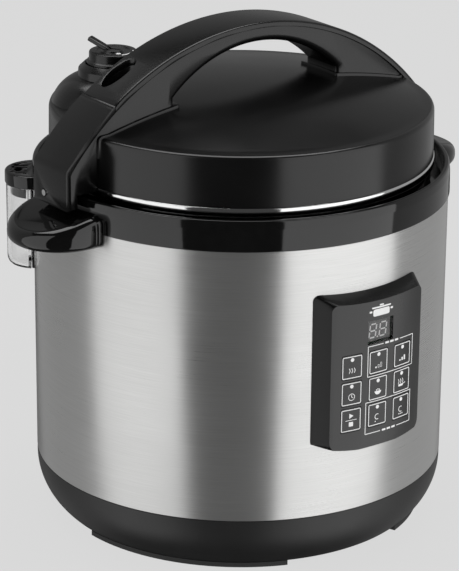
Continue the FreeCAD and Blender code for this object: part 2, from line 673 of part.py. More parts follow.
# ---------------------------------------------------------------- checks and output
doc.recompute()
problems = []
for obj in doc.Objects:
    if "Invalid" in obj.State or "Error" in obj.State:
        problems.append("%s %s" % (obj.Label, obj.State))
for name, obj in NODES.items():
    shape = obj.Shape
    if shape.isNull() or not shape.isValid() or not shape.Solids:
        problems.append("%s has a bad shape" % name)
if problems:
    raise RuntimeError("; ".join(problems))
os.makedirs("parts", exist_ok=True)
for name, obj in NODES.items():
    obj.Shape.exportStep(os.path.join("parts", name + ".step"))
    size = obj.Shape.BoundBox
    print("%-20s solids %d  volume %9.1f  z %7.2f..%7.2f" % (
        name, len(obj.Shape.Solids), obj.Shape.Volume, size.ZMin, size.ZMax))
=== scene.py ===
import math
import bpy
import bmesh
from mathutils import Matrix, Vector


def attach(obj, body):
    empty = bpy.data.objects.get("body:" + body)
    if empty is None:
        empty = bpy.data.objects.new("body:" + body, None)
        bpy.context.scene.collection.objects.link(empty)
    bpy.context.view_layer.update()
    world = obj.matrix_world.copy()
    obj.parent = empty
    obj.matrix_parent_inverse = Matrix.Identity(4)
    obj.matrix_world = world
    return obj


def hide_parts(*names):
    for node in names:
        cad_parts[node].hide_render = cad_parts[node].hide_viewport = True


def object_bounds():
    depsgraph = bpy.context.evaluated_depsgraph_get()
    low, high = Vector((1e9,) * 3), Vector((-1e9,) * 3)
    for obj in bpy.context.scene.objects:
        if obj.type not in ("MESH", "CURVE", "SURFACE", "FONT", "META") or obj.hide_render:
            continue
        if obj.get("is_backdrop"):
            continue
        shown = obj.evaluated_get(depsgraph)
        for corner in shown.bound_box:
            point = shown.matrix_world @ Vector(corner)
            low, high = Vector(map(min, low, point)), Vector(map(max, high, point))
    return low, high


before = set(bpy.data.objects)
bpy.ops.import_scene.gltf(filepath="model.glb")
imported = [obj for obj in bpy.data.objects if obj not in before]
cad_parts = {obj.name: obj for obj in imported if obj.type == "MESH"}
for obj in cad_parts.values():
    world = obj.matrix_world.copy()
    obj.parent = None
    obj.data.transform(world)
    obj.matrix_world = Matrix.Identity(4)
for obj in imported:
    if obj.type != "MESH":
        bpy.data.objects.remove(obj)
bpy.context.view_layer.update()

# %% [markdown]
# This scene dresses an electric pressure cooker. The CAD model arrives first and stays where
# it is. Most of its outer parts are then modelled again, finer, with mesh operators, because
# a round edge or a printed line is what the eye reads first. Everything is written in
# millimetres and shrunk to metres once, when a piece is finished, because a maker's drawing
# is in millimetres and small round numbers are easier to follow.

MM = 0.001
scene = bpy.context.scene

# %% [markdown]
# A colour picked on a screen is an sRGB value, while the renderer adds up linear light. One
# function turns the first into the second. A second one adds a shader node, sets it up and
# links it, so every material below reads as a short list of what it is made from.


# %% Colour and node helpers
def tone(code):
    """sRGB hex text to linear RGBA."""
    parts = [int(code[i:i + 2], 16) / 255 for i in (1, 3, 5)]
    return tuple(p / 12.92 if p <= 0.04045 else ((p + 0.055) / 1.055) ** 2.4
                 for p in parts) + (1.0,)


def add(tree, kind, sockets=None, **settings):
    """Adds one node. A socket's value may be a number, a colour or another node's output."""
    made = tree.nodes.new(kind)
    for name, value in settings.items():
        setattr(made, name, value)
    for name, value in (sockets or {}).items():
        if isinstance(value, bpy.types.NodeSocket):
            tree.links.new(value, made.inputs[name])
        else:
            made.inputs[name].default_value = value
    return made


def ramp(tree, factor, low, high, start=0.0, end=1.0):
    """A colour ramp between two tones."""
    made = add(tree, "ShaderNodeValToRGB", {"Fac": factor})
    made.color_ramp.elements[0].position = start
    made.color_ramp.elements[1].position = end
    made.color_ramp.elements[0].color = low
    made.color_ramp.elements[1].color = high
    return made.outputs["Color"]


def new_material(name):
    made = bpy.data.materials.new(name)
    made.use_nodes = True
    made.node_tree.nodes.clear()
    tree = made.node_tree
    shader = add(tree, "ShaderNodeBsdfPrincipled")
    add(tree, "ShaderNodeOutputMaterial", {"Surface": shader.outputs[0]})
    place = add(tree, "ShaderNodeTexCoord").outputs["Object"]
    return made, tree, shader, place


print("black on screen", tone("#202020")[0])

# %% [markdown]
# Moulded plastic is never one flat colour. The steel mould leaves a fine spark-eroded grain on
# a satin part and a faint orange-peel ripple on a polished one, handling leaves slightly
# smoother patches, and dust makes the tone drift. One recipe with four settings covers satin
# ABS, gloss ABS, rubber and silicone: a fine noise drives the bump, a broad one drifts the
# colour and the roughness. Black ABS is darker than it looks, since most of what the eye sees
# on it is reflection, so its base tones are close to black. Real grain is about 0.1 mm, too
# fine to show, so it is drawn at about half a millimetre.


# %% Moulded plastics and rubber
def moulded(name, dark, light, rough, grain_mm, depth, ior=1.5):
    made, tree, shader, place = new_material(name)
    grain = add(tree, "ShaderNodeTexNoise", {
        "Vector": place, "Scale": 1 / (grain_mm * MM), "Detail": 3.0}).outputs[0]
    drift = add(tree, "ShaderNodeTexNoise", {
        "Vector": place, "Scale": 22.0, "Detail": 4.0}).outputs[0]
    mixed = add(tree, "ShaderNodeMath", {0: grain, 1: drift}, operation="MULTIPLY").outputs[0]
    colour = ramp(tree, mixed, tone(dark), tone(light), 0.12, 0.42)
    gloss = add(tree, "ShaderNodeMapRange", {
        "Value": drift, "From Min": 0.3, "From Max": 0.7,
        "To Min": rough * 0.88, "To Max": rough * 1.12}).outputs[0]
    bump = add(tree, "ShaderNodeBump", {
        "Height": grain, "Strength": 0.35, "Distance": depth * MM}).outputs[0]
    for socket, value in (("Base Color", colour), ("Roughness", gloss), ("Normal", bump)):
        tree.links.new(value, shader.inputs[socket])
    shader.inputs["IOR"].default_value = ior
    return made


satin_abs = moulded("satin_abs", "#050505", "#0a0a0a", 0.22, 0.5, 0.015, 1.46)
base_abs = moulded("grained_base_abs", "#0a0a0a", "#121212", 0.45, 0.6, 0.06)
gloss_abs = moulded("polished_abs", "#060606", "#0b0b0b", 0.07, 6.0, 0.01)
panel_abs = moulded("panel_abs", "#060606", "#0b0b0b", 0.26, 0.5, 0.03, 1.33)
panel_film = moulded("panel_film", "#1d1d1d", "#242424", 0.30, 0.5, 0.02, 1.5)
key_film = moulded("key_film", "#151515", "#1b1b1b", 0.28, 0.7, 0.02)
foot_rubber = moulded("foot_rubber", "#181818", "#262626", 0.75, 0.8, 0.05)
seal_silicone = moulded("seal_silicone", "#9c9a94", "#b4b2ac", 0.45, 1.5, 0.02, 1.41)
module_plastic = moulded("module_plastic", "#747474", "#828282", 0.5, 0.6, 0.02)
grey_nylon = moulded("grey_nylon", "#77787a", "#8e8f91", 0.45, 0.7, 0.03)
board_resin = moulded("board_resin", "#1d4a2b", "#27613a", 0.4, 1.2, 0.02)
white_ink = moulded("white_ink", "#e4e4e4", "#f6f6f6", 0.55, 0.3, 0.01)
grey_ink = moulded("unlit_segment", "#f4f4f4", "#fdfdfd", 0.5, 0.5, 0.01)
print("plastics", len(bpy.data.materials))

# %% [markdown]
# Brushed stainless steel is scratched by a belt that runs round the drum, so its scratches are
# hair-thin rings. Noise squeezed a hundred times along Z gives them: long round the drum,
# short up it. The same noise drives tone, roughness and bump. Anisotropy with a tangent that
# runs round Z then smears reflections up and down, which is what turns the studio lights into
# tall soft bands. Polished steel and cast aluminium use the same recipe with less of it.


# %% Metals
def metal(name, dark, light, rough, streak, depth, smear=0.0, shine=1.0):
    made, tree, shader, place = new_material(name)
    squeezed = add(tree, "ShaderNodeMapping", {
        "Vector": place, "Scale": (9.0, 9.0, 9.0 * streak)}).outputs[0]
    lines = add(tree, "ShaderNodeTexNoise", {
        "Vector": squeezed, "Scale": 3.0, "Detail": 6.0, "Roughness": 0.7}).outputs[0]
    cloud = add(tree, "ShaderNodeTexNoise", {
        "Vector": place, "Scale": 14.0, "Detail": 2.0}).outputs[0]
    colour = ramp(tree, lines, tone(dark), tone(light), 0.3, 0.7)
    mixed = add(tree, "ShaderNodeMath", {0: lines, 1: cloud}, operation="MULTIPLY").outputs[0]
    gloss = add(tree, "ShaderNodeMapRange", {
        "Value": mixed, "From Min": 0.1, "From Max": 0.4,
        "To Min": rough * 0.85, "To Max": rough * 1.2}).outputs[0]
    bump = add(tree, "ShaderNodeBump", {
        "Height": lines, "Strength": 0.25, "Distance": depth * MM}).outputs[0]
    for socket, value in (("Base Color", colour), ("Roughness", gloss), ("Normal", bump)):
        tree.links.new(value, shader.inputs[socket])
    shader.inputs["Metallic"].default_value = shine
    if smear:
        shader.inputs["Anisotropic"].default_value = smear
        shader.inputs["Anisotropic Rotation"].default_value = 0.25
        round_z = add(tree, "ShaderNodeTangent", direction_type="RADIAL", axis="Z").outputs[0]
        tree.links.new(round_z, shader.inputs["Tangent"])
    return made


brushed_steel = metal("brushed_steel", "#b6b6b5", "#c6c6c5", 0.30, 110.0, 0.012, 0.75, 0.9)
polished_steel = metal("polished_steel", "#d2d2d2", "#dedede", 0.08, 60.0, 0.004)
spun_steel = metal("spun_pot_steel", "#bdbdbc", "#cfcfce", 0.2, 70.0, 0.01, 0.5)
zinc_steel = metal("zinc_plated_steel", "#a9aaab", "#c0c1c3", 0.3, 4.0, 0.01)
cast_aluminium = metal("cast_aluminium", "#a7a8aa", "#bcbdbf", 0.42, 1.0, 0.05)
print("materials", len(bpy.data.materials))

# %% [markdown]
# Two pieces let light through. The drip cup is clear polycarbonate, moulded and slightly
# scuffed. The display window is the same plastic with a faint smoke tint, so that the grey
# module and its unlit digits show through.


# %% Clear plastics
def see_through(name, tint, rough, ior):
    made, tree, shader, place = new_material(name)
    scuff = add(tree, "ShaderNodeTexNoise", {
        "Vector": place, "Scale": 160.0, "Detail": 5.0}).outputs[0]
    gloss = add(tree, "ShaderNodeMapRange", {
        "Value": scuff, "From Min": 0.35, "From Max": 0.75,
        "To Min": rough, "To Max": rough + 0.08}).outputs[0]
    tree.links.new(gloss, shader.inputs["Roughness"])
    shader.inputs["Base Color"].default_value = tone(tint)
    shader.inputs["Transmission Weight"].default_value = 1.0
    shader.inputs["IOR"].default_value = ior
    return made


clear_cup = see_through("clear_polycarbonate", "#f4f4f4", 0.03, 1.3)
smoked_lens = see_through("smoked_polycarbonate", "#f0f0f0", 0.04, 1.15)

# %% [markdown]
# Most of the cooker is turned: it is round about the upright axis. A turned part needs only
# its half outline, which Spin sweeps round. Sharp outline corners would look cut out of
# paper, so a corner may carry a radius and is swapped for a short arc before the sweep.
# Spinning leaves the shape's faces pointing either way, so doubles are merged first and the
# normals are then worked out afresh.


# %% Outline and turning helpers
def soften(points, steps=5):
    """Replaces each (across, up, radius) corner by an arc; plain (across, up) corners stay."""
    result = []
    count = len(points)
    for i, point in enumerate(points):
        here = Vector(point[:2])
        if len(point) < 3:
            result.append(here)
            continue
        before = Vector(points[i - 1][:2]) - here
        after = Vector(points[(i + 1) % count][:2]) - here
        half = before.angle(after) / 2
        reach = min(point[2] / math.tan(half), before.length * 0.49, after.length * 0.49)
        first = here + before.normalized() * reach
        last = here + after.normalized() * reach
        for k in range(steps + 1):
            t = k / steps
            result.append(first * (1 - t) ** 2 + here * 2 * t * (1 - t) + last * t ** 2)
    return result


def bow(start, end, radius, steps=24):
    """Points of an arc from start to end; a positive radius bulges right of the travel."""
    a, b = Vector(start), Vector(end)
    chord = b - a
    side = Vector((chord.y, -chord.x)).normalized() * math.copysign(1, radius)
    reach = abs(radius)
    centre = (a + b) / 2 - side * math.sqrt(reach ** 2 - (chord.length / 2) ** 2)
    turn = (a - centre).angle_signed(b - centre)
    return [tuple(centre + Matrix.Rotation(-turn * k / steps, 2) @ (a - centre))
            for k in range(steps + 1)]


def loop(bm, points, spot):
    """A closed ring of edges through the points; spot turns (across, up) into a place."""
    verts = [bm.verts.new(spot(p[0], p[1])) for p in points]
    return [bm.edges.new((verts[i], verts[(i + 1) % len(verts)])) for i in range(len(verts))]


def clean(bm):
    bmesh.ops.remove_doubles(bm, verts=bm.verts, dist=0.002)
    bmesh.ops.recalc_face_normals(bm, faces=bm.faces)
    return bm


def turned(points, steps=192, at=(0, 0)):
    """Spins a closed half outline round the upright axis through at."""
    bm = bmesh.new()
    edges = loop(bm, points, lambda across, up: (max(across, 0), 0, up))
    verts = list({v for e in edges for v in e.verts})
    bmesh.ops.spin(bm, geom=edges + verts, cent=(0, 0, 0), axis=(0, 0, 1),
                   angle=math.tau, steps=steps, use_merge=True, use_duplicate=False)
    bmesh.ops.translate(bm, verts=bm.verts, vec=(at[0], at[1], 0))
    bmesh.ops.dissolve_degenerate(bm, dist=0.001, edges=bm.edges)
    return clean(bm)


def slab(points, low, high, spot=lambda across, up: (across, up, 0), way=(0, 0, 1)):
    """Extrudes a flat outline from low to high along way."""
    bm = bmesh.new()
    edges = loop(bm, points, spot)
    face = bmesh.ops.contextual_create(bm, geom=edges)["faces"]
    bmesh.ops.translate(bm, verts=bm.verts, vec=Vector(way) * low)
    made = bmesh.ops.extrude_face_region(bm, geom=face, use_keep_orig=True)["geom"]
    top = [g for g in made if isinstance(g, bmesh.types.BMVert)]
    bmesh.ops.translate(bm, verts=top, vec=Vector(way) * (high - low))
    return clean(bm)


def side_slab(points, half):
    """Extrudes an (along X, up) outline from -half to half along Y."""
    return slab(points, -half, half, lambda across, up: (across, 0, up), (0, 1, 0))


def sector(bm, first, last):
    """Keeps the part of a turned ring between two angles in degrees, and closes its ends."""
    for turn, keep in ((first, 1), (last, -1)):
        a = math.radians(turn)
        cut = bmesh.ops.bisect_plane(
            bm, geom=bm.verts[:] + bm.edges[:] + bm.faces[:], plane_co=(0, 0, 0),
            plane_no=(math.sin(a) * keep, -math.cos(a) * keep, 0), clear_outer=True)
        edges = [g for g in cut["geom_cut"] if isinstance(g, bmesh.types.BMEdge)]
        bmesh.ops.holes_fill(bm, edges=edges, sides=0)
    return clean(bm)


def every(middle, direction):
    """For soft_edges: all edges."""
    return True


def soft_edges(bm, wanted, radius, steps=4):
    """Rounds the edges for which wanted(edge middle, edge direction) is true."""
    chosen = []
    for edge in bm.edges:
        a, b = edge.verts[0].co, edge.verts[1].co
        if edge.is_manifold and wanted((a + b) / 2, (b - a).normalized()):
            chosen.append(edge)
    bmesh.ops.bevel(bm, geom=chosen, offset=radius, offset_type="OFFSET", segments=steps,
                    profile=0.5, affect="EDGES", clamp_overlap=True, material=-1)
    return bm


# %% [markdown]
# A finished piece becomes an object at the origin with its place in its mesh, rides on the CAD
# body it belongs to, and stands for its CAD node. Pieces of several shapes are cut and joined
# with the Boolean modifier, applied straight away, because a cut-out made by hand in such
# curved walls would need hundreds of typed points.


# %% Finishing, cutting and joining helpers
def to_object(bm, name, *materials):
    bmesh.ops.scale(bm, verts=bm.verts, vec=(MM, MM, MM))
    mesh = bpy.data.meshes.new(name)
    bm.to_mesh(mesh)
    bm.free()
    made = bpy.data.objects.new(name, mesh)
    scene.collection.objects.link(made)
    for material in materials:
        mesh.materials.append(material)
    return made


def to_shape(obj):
    """Turns a working object back into a shape in millimetres, and drops the object."""
    bm = bmesh.new()
    bm.from_mesh(obj.data)
    bmesh.ops.scale(bm, verts=bm.verts, vec=(1 / MM,) * 3)
    bpy.data.objects.remove(obj)
    return bm


def apply_all(obj):
    """Swaps the mesh for its modified self and drops the modifiers."""
    scene.view_layers[0].update()
    graph = bpy.context.evaluated_depsgraph_get()
    fresh = bpy.data.meshes.new_from_object(obj.evaluated_get(graph))
    obj.modifiers.clear()
    obj.data = fresh
    return obj


def carve(obj, *cutters, how="DIFFERENCE"):
    """Cuts, joins or keeps the overlap of obj with each cutter mesh, in turn."""
    for bm in cutters:
        tool = to_object(bm, "tool")
        step = obj.modifiers.new("carve", "BOOLEAN")
        step.operation = how
        step.solver = "EXACT"
        step.object = tool
        apply_all(obj)
        bpy.data.objects.remove(tool)
    return obj


def piece(obj, body, nodes, edge=0.0, angle=35, facets=30):
    """Smooths, softens the edges, and hands the object to its CAD body and nodes."""
    bm = bmesh.new()
    bm.from_mesh(obj.data)
    bmesh.ops.remove_doubles(bm, verts=bm.verts, dist=0.000002)
    bmesh.ops.dissolve_limit(bm, angle_limit=math.radians(0.3), verts=bm.verts, edges=bm.edges)
    bm.to_mesh(obj.data)
    bm.free()
    if edge:
        step = obj.modifiers.new("soft edge", "BEVEL")
        step.width = edge * MM
        step.segments = 2
        step.limit_method = "ANGLE"
        step.angle_limit = math.radians(angle)
        apply_all(obj)
    obj.data.shade_smooth()
    obj.data.set_sharp_from_angle(angle=math.radians(facets))
    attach(obj, body)
    if nodes:
        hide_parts(*nodes)
    obj.data.calc_loop_triangles()
    size = [round(v / MM, 1) for v in obj.dimensions]
    print(obj.name, "triangles", len(obj.data.loop_triangles), "size mm", size)
    return obj


def block(x0, x1, y0, y1, z0, z1):
    bm = bmesh.new()
    bmesh.ops.create_cube(bm, size=1)
    bmesh.ops.scale(bm, verts=bm.verts, vec=(x1 - x0, y1 - y0, z1 - z0))
    bmesh.ops.translate(bm, verts=bm.verts,
                        vec=((x0 + x1) / 2, (y0 + y1) / 2, (z0 + z1) / 2))
    return bm


def rod(radius, low, high, x=0, y=0, steps=96):
    bm = bmesh.new()
    bmesh.ops.create_cone(bm, cap_ends=True, segments=steps, radius1=radius, radius2=radius,
                          depth=high - low)
    bmesh.ops.translate(bm, verts=bm.verts, vec=(x, y, (low + high) / 2))
    return bm


# %% [markdown]
# The base is a moulded bowl that the cooker stands on. Its wall leans outwards and bulges a
# little from the foot ring up to the steel. It is turned from an arc for the outside and one
# for the inside. The mains inlet goes through its back, so a rounded block cuts the way in.

# %% Base bowl
SHELL = 135.0
BASE_TOP = 38.5
outside = bow((121, 3.2), (134.8, BASE_TOP - 0.7), 42)
inside = bow((131.6, BASE_TOP + 1), (118.5, 5.8), -39)
base_outline = ([(98, 3.2)] + outside + [(134.1, BASE_TOP), (134.1, 44),
                (131.6, 44)] + inside + [(98, 5.8)])
base = to_object(turned(base_outline, 256), "base_bowl_shell", base_abs)
inlet_way = soft_edges(block(-14.2, 14.2, 105, 140, 9.6, 32.6),
                       lambda m, d: abs(d.y) > 0.9, 2.0)
carve(base, inlet_way)
piece(base, "housing", ["base_bowl"], 0.4, 45)

# %% [markdown]
# The sleeve is one sheet of brushed steel, rolled and seamed at the back. A turned wall of its
# real thickness is enough: the brushing is the material's work. Its upper edge hides under
# the collar and its lower edge meets the base in a thin dark joint.

# %% Steel sleeve
sleeve = to_object(turned(soften([(134.2, BASE_TOP, 0.2), (SHELL, BASE_TOP, 0.3),
                                  (SHELL, 218, 0.1), (134.2, 218, 0.1)], 2), 384),
                   "brushed_sleeve", brushed_steel)
piece(sleeve, "housing", ["outer_sleeve"])

# %% [markdown]
# The collar is the polished black ring that closes the sleeve. Its wall bows out a little, its
# rim is thin, and a shelf inside it closes the gap to the pot, so that the gap reads as black.
# It is turned in one go, with a small radius on the rim, which is where its bright line is.

# %% Collar
collar = to_object(turned(soften([
    (131.5, 208), (134, 208), (134, 217.9), (135.2, 217.6, 0.3), (135.9, 218.3, 0.5),
    (135.7, 232, 8), (135.0, 237.7, 2.2), (131.9, 237.7, 1.0),
    (131.5, 224.2, 0.5), (118.3, 224.2), (118.3, 222), (131.5, 222)]), 256),
    "gloss_collar", gloss_abs)
piece(collar, "housing", ["collar"])

# %% [markdown]
# Each side grip is a short polished tongue with a full round end, hollow underneath for the
# fingertips, and its top falls away from the body. It starts as a flat outline of half a
# circle and two straight sides, pulled up into a slab, and its top points are slid down by a
# slope. Bevel then rolls its top and bottom edges, and three shapes are cut away: the
# round seat on the collar, the finger hollow, and two hair-wide grooves at its root.

# %% Side grips
GRIP_HALF = 33.6
GRIP_CENTRE = 140.4
GRIP_SLOPE = math.tan(math.radians(13))


def tongue_outline(half, root):
    tip = bow((GRIP_CENTRE, -half), (GRIP_CENTRE, half - 0.001), half + 0.0001, 48)
    return [(root, -half)] + tip + [(root, half)]


for side, name in ((-1, "left_handle"), (1, "right_handle")):
    tongue = slab(tongue_outline(GRIP_HALF, 120), 208.6, 229.5)
    for v in tongue.verts:
        if v.co.z > 229:
            v.co.z -= GRIP_SLOPE * (v.co.x - 135.7)
    tongue = soft_edges(tongue, lambda m, d: m.z > 215 and abs(d.z) < 0.5 and m.x > 120.5, 7.0, 7)
    tongue = soft_edges(tongue, lambda m, d: m.z < 208.7 and m.x > 120.5, 5.0, 6)
    hollow = slab(tongue_outline(26, 139.5), 200, 219)
    hollow = soft_edges(hollow, lambda m, d: m.z > 218.9, 2.5, 3)
    grip = to_object(tongue, name + "_grip", gloss_abs)
    grooves = [block(x, x + 0.7, s * 36 - 3.1, s * 36 + 3.1, 210, 228)
               for x in (134.2, 136.4) for s in (-1, 1)]
    carve(grip, rod(135.7, 190, 250, steps=256), hollow, *grooves)
    if side < 0:
        grip.data.transform(Matrix.Rotation(math.pi, 4, "Z"))
    piece(grip, "housing", [name], 0.25, 50)

# %% [markdown]
# The lid cover is a shallow dome with a short straight wall and a rolled edge between them.
# Behind the handle a round mound rises out of it to carry the release valve. Both are turned
# and joined, and the joint stays a crisp line, as on the real moulding. The lid is hollow, so
# a smaller copy of the dome is taken out of the inside, with holes for the float pin and valve.

# %% Lid cover
LID = 124.7
DOME_TOP = 289.0
VALVE = (-66.8, 48.7)
PIN = (-91.0, 6.8)


def dome(low, wall, shoulder, crown, thin=0.0):
    """Closed half outline of the lid shape down to the height low."""
    rise = crown - shoulder
    reach = (120.4 ** 2 + rise ** 2) / (2 * rise)
    top = bow((120.4 - thin, shoulder), (0, crown), reach, 40)
    edge = soften([(wall, low), (wall - 0.5, shoulder + 0.4, 4.5), top[1]], 8)
    return [(0, low)] + edge[:-1] + top[1:]


cover = to_object(turned(dome(242.5, LID, 274.2, DOME_TOP), 256), "lid_dome", satin_abs)
mound_outline = [(0, 262), (41, 262)] + bow((41, 268.5), (25, 290.5), 25)
mound = turned(mound_outline + [(22, 291.5), (0, 291.5)], 128, VALVE)
limit = to_object(mound, "mound")
carve(limit, rod(124.2, 255, 300, steps=256), how="INTERSECT")
carve(cover, to_shape(limit), how="UNION")
carve(cover, turned(dome(235, LID - 2.6, 271.6, DOME_TOP - 2.6, 0.6), 192),
      rod(5.5, 240, 310, *PIN), rod(8, 240, 300, *VALVE))
piece(cover, "lid", ["lid_cover"], 0.0, 35, 24)

# %% [markdown]
# Under the black cover sits the pressed steel lid. Only its rim shows, as the bright line
# between cover and collar. It is one pressing: a skirt that goes down into the collar, a
# shelf for the sealing ring, a raised disc, and six lugs that lock under those of the pot. A
# rolled bead at the top of the skirt is what catches the light.

# %% Steel lid and sealing ring
lid_pan = to_object(turned(soften([
    (0, 245.9), (103.2, 245.9, 2), (107.2, 240.9, 2), (121.8, 240.9, 0.6), (121.8, 227.5),
    (122.6, 227.2, 0.4), (123.4, 227.9, 0.4), (123.4, 235.9, 0.4),
    (125.4, 236.7, 1.6), (125.4, 242.4, 1.6), (108, 242.5, 2),
    (104, 247.5, 2), (0, 247.5)]), 256), "steel_lid", polished_steel)
LUG_HALF = 13
for i in range(6):
    lug = turned([(118.7, 228), (122.2, 228), (122.2, 231), (118.7, 231)], 180)
    middle = 30 + 60 * i
    carve(lid_pan, sector(lug, middle - LUG_HALF, middle + LUG_HALF), how="UNION")
carve(lid_pan, rod(5.2, 230, 260, *VALVE), rod(3.6, 230, 260, *PIN))
piece(lid_pan, "lid", ["inner_lid"], 0.0, 35, 24)

seal = to_object(turned(soften([
    (109, 238.4, 0.6), (114.6, 238.4), (115.7, 236.3, 0.6), (119.8, 236.3, 1.2),
    (119.8, 240.6, 0.6), (115.6, 240.6), (115.2, 240.1), (114.8, 240.6), (109, 240.6, 0.8)]),
    192), "silicone_seal", seal_silicone)
piece(seal, "seal", ["sealing_ring"])

# %% [markdown]
# The arched handle is three mouldings: a thin cap over the grip, a web below it, and a long
# arm that carries the cap's line down over the lid's edge. The cap's other end runs on past
# the rim as a plain tail. All three are side outlines pulled
# across, because their sides are flat and their curves all lie in one plane. The long edges
# that a hand meets are rolled with Bevel before any hole is cut.

# %% Handle cap and arm
ARCH = (-2.7, 149.9)
ARCH_R = 179.6
CAP = 3.6


def on_arch(x, drop=0.0):
    """Height of the arch, or of a line drop under it, at x."""
    return ARCH[1] + math.sqrt((ARCH_R - drop) ** 2 - (x - ARCH[0]) ** 2)


def arch_run(x0, x1, drop=0.0, steps=72):
    """Points along the arch from x0 to x1, evenly spaced in angle."""
    reach = ARCH_R - drop
    a0 = math.acos((x0 - ARCH[0]) / reach)
    a1 = math.acos((x1 - ARCH[0]) / reach)
    return [(ARCH[0] + reach * math.cos(a0 + (a1 - a0) * k / steps),
             ARCH[1] + reach * math.sin(a0 + (a1 - a0) * k / steps))
            for k in range(steps + 1)]


SEAM = -110.8
TAIL = 142.0
cap_outline = (arch_run(SEAM + 0.2, TAIL - 1.5) + [(TAIL, on_arch(TAIL) - 1.5)]
               + arch_run(TAIL, SEAM + 0.2, CAP))
cap = side_slab(cap_outline, 18.1)
cap = soft_edges(cap, lambda m, d: abs(m.y) > 18 and m.z > on_arch(m.x, 1.0)
                 and m.x > SEAM + 1, 2.6, 5)
cap = to_object(cap, "handle_cap", satin_abs)
WINDOW = rod(1, 262, 345, steps=72)
bmesh.ops.scale(WINDOW, verts=WINDOW.verts, vec=(12.3, 7.2, 1))
bmesh.ops.translate(WINDOW, verts=WINDOW.verts, vec=(PIN[0], PIN[1], 0))
web_window = WINDOW.copy()
carve(cap, WINDOW)
piece(cap, "lid", ["handle_cover"], 0.5, 50, 28)

ARM_FACE = -147.8
arm_bend = on_arch(ARM_FACE + 1.2)
arm_outline = ([(ARM_FACE, 231.6), (ARM_FACE, arm_bend - 6)]
               + soften([(ARM_FACE, arm_bend - 7), (ARM_FACE, arm_bend, 7),
                         arch_run(ARM_FACE + 5, -140)[0]], 5)[1:]
               + arch_run(-142, SEAM - 0.2, 0, 24)
               + arch_run(SEAM - 0.2, ARM_FACE + CAP + 1, CAP, 24)
               + [(ARM_FACE + CAP, 254), (ARM_FACE + CAP, 231.6)])
arm = side_slab(arm_outline, 18.1)
arm = soft_edges(arm, lambda m, d: abs(m.y) > 18 and m.x < SEAM - 1
                 and (m.x < ARM_FACE + 0.5 or m.z > on_arch(max(m.x, ARM_FACE + 1), 1.2)), 2.6, 5)
arm = to_object(arm, "handle_arm_skin", satin_abs)
pin_way = rod(2.6, -10, 10, steps=48)
bmesh.ops.rotate(pin_way, verts=pin_way.verts, matrix=Matrix.Rotation(math.pi / 2, 3, "Y"))
bmesh.ops.translate(pin_way, verts=pin_way.verts, vec=(ARM_FACE, 6.8, 237.8))
carve(arm, pin_way)
piece(arm, "lid", ["handle_arm"], 0.4, 50, 28)

# %% [markdown]
# The web carries the grip. Its opening is an arc as well, and its rim is rolled so that
# fingers feel no edge. Where it meets the dome it spreads into a low foot: a box round its
# plan, kept only inside a slightly larger dome, gives a foot that follows the lid exactly.

# %% Handle web and its foot
GAP_HALF = 64.8
opening = bow((GAP_HALF, 290), (-GAP_HALF, 290), 92.5, 48)
web_outline = ([(-144.1, 231.6), (-144.1, 253.5)] + arch_run(-143, 119, CAP + 0.25)
               + [(121, 272), (119, 266), (GAP_HALF, 279)]
               + opening
               + [(-GAP_HALF, 279), (-122.5, 266), (-122.5, 242.6), (-124.6, 242.6),
                  (-124.6, 240.3), (-138.7, 240.3), (-138.7, 231.6)])
web = side_slab(web_outline, 17.0)


def round_the_gap(m, d):
    reach = math.hypot(m.x, m.z - 224)
    return abs(m.y) > 16.9 and abs(m.x) < GAP_HALF + 0.5 and (
        abs(reach - 92.5) < 1 or (abs(m.x) > GAP_HALF - 0.5 and m.z < 291))


web = soft_edges(web, round_the_gap, 4.2, 6)
web = soft_edges(web, lambda m, d: abs(m.y) > 16.9 and m.x < -143.5, 1.6, 3)
web = to_object(web, "handle_web_core", satin_abs)
feet_outline = dome(262, LID + 1.2, 275.6, DOME_TOP + 2.0)
for x0, x1 in ((-125.6, -GAP_HALF + 2.2), (GAP_HALF - 2.2, 119.6)):
    foot = to_object(turned(feet_outline, 192), "foot")
    keep = soft_edges(block(x0, x1, -19.2, 19.2, 255, 300), lambda m, d: abs(d.z) > 0.9, 1.6)
    carve(foot, keep, how="INTERSECT")
    carve(web, to_shape(foot), how="UNION")
carve(web, web_window, rod(5.5, 240, 300, *PIN))
piece(web, "lid", ["handle_web"], 0.45, 50, 28)

# %% [markdown]
# The release valve is a knob on a cone-shaped seat. The knob is turned in one piece, with a
# raised centre that takes a coin slot, and one flat tab rises outwards across its rim. Its
# top carries a plain dot and an arc, which say open and shut without text.

# %% Valve knob, seat and float pin
KNOB_TOP = 307.2
knob = to_object(turned(soften([
    (0, 300.6), (4, 300.6), (4, 296), (16, 296, 0.4), (17.4, 297, 0.6), (17.2, 300.9, 0.8),
    (15.6, 301.8, 0.5), (15.5, KNOB_TOP, 1.2), (11.5, KNOB_TOP, 0.4), (11.1, KNOB_TOP - 0.6, 0.4),
    (7.2, KNOB_TOP - 0.6, 0.4), (6.4, KNOB_TOP + 0.8, 0.5), (0, KNOB_TOP + 0.8)]), 128),
    "release_knob_body", satin_abs)
tab = soft_edges(block(0, 15.8, -2.6, 2.6, 0, 2.8), every, 0.7, 2)
bmesh.ops.rotate(tab, verts=tab.verts, matrix=Matrix.Rotation(math.radians(-24), 3, "Y"))
bmesh.ops.translate(tab, verts=tab.verts, vec=(3, 0, 305.8))
carve(knob, tab, how="UNION")
carve(knob, block(-5.2, 5.2, -0.9, 0.9, KNOB_TOP - 1.4, KNOB_TOP + 2))
knob.data.transform(Matrix.Translation((VALVE[0] * MM, VALVE[1] * MM, 0))
                    @ Matrix.Rotation(math.radians(120), 4, "Z"))
piece(knob, "release_knob", ["valve_knob"], 0.15, 50)

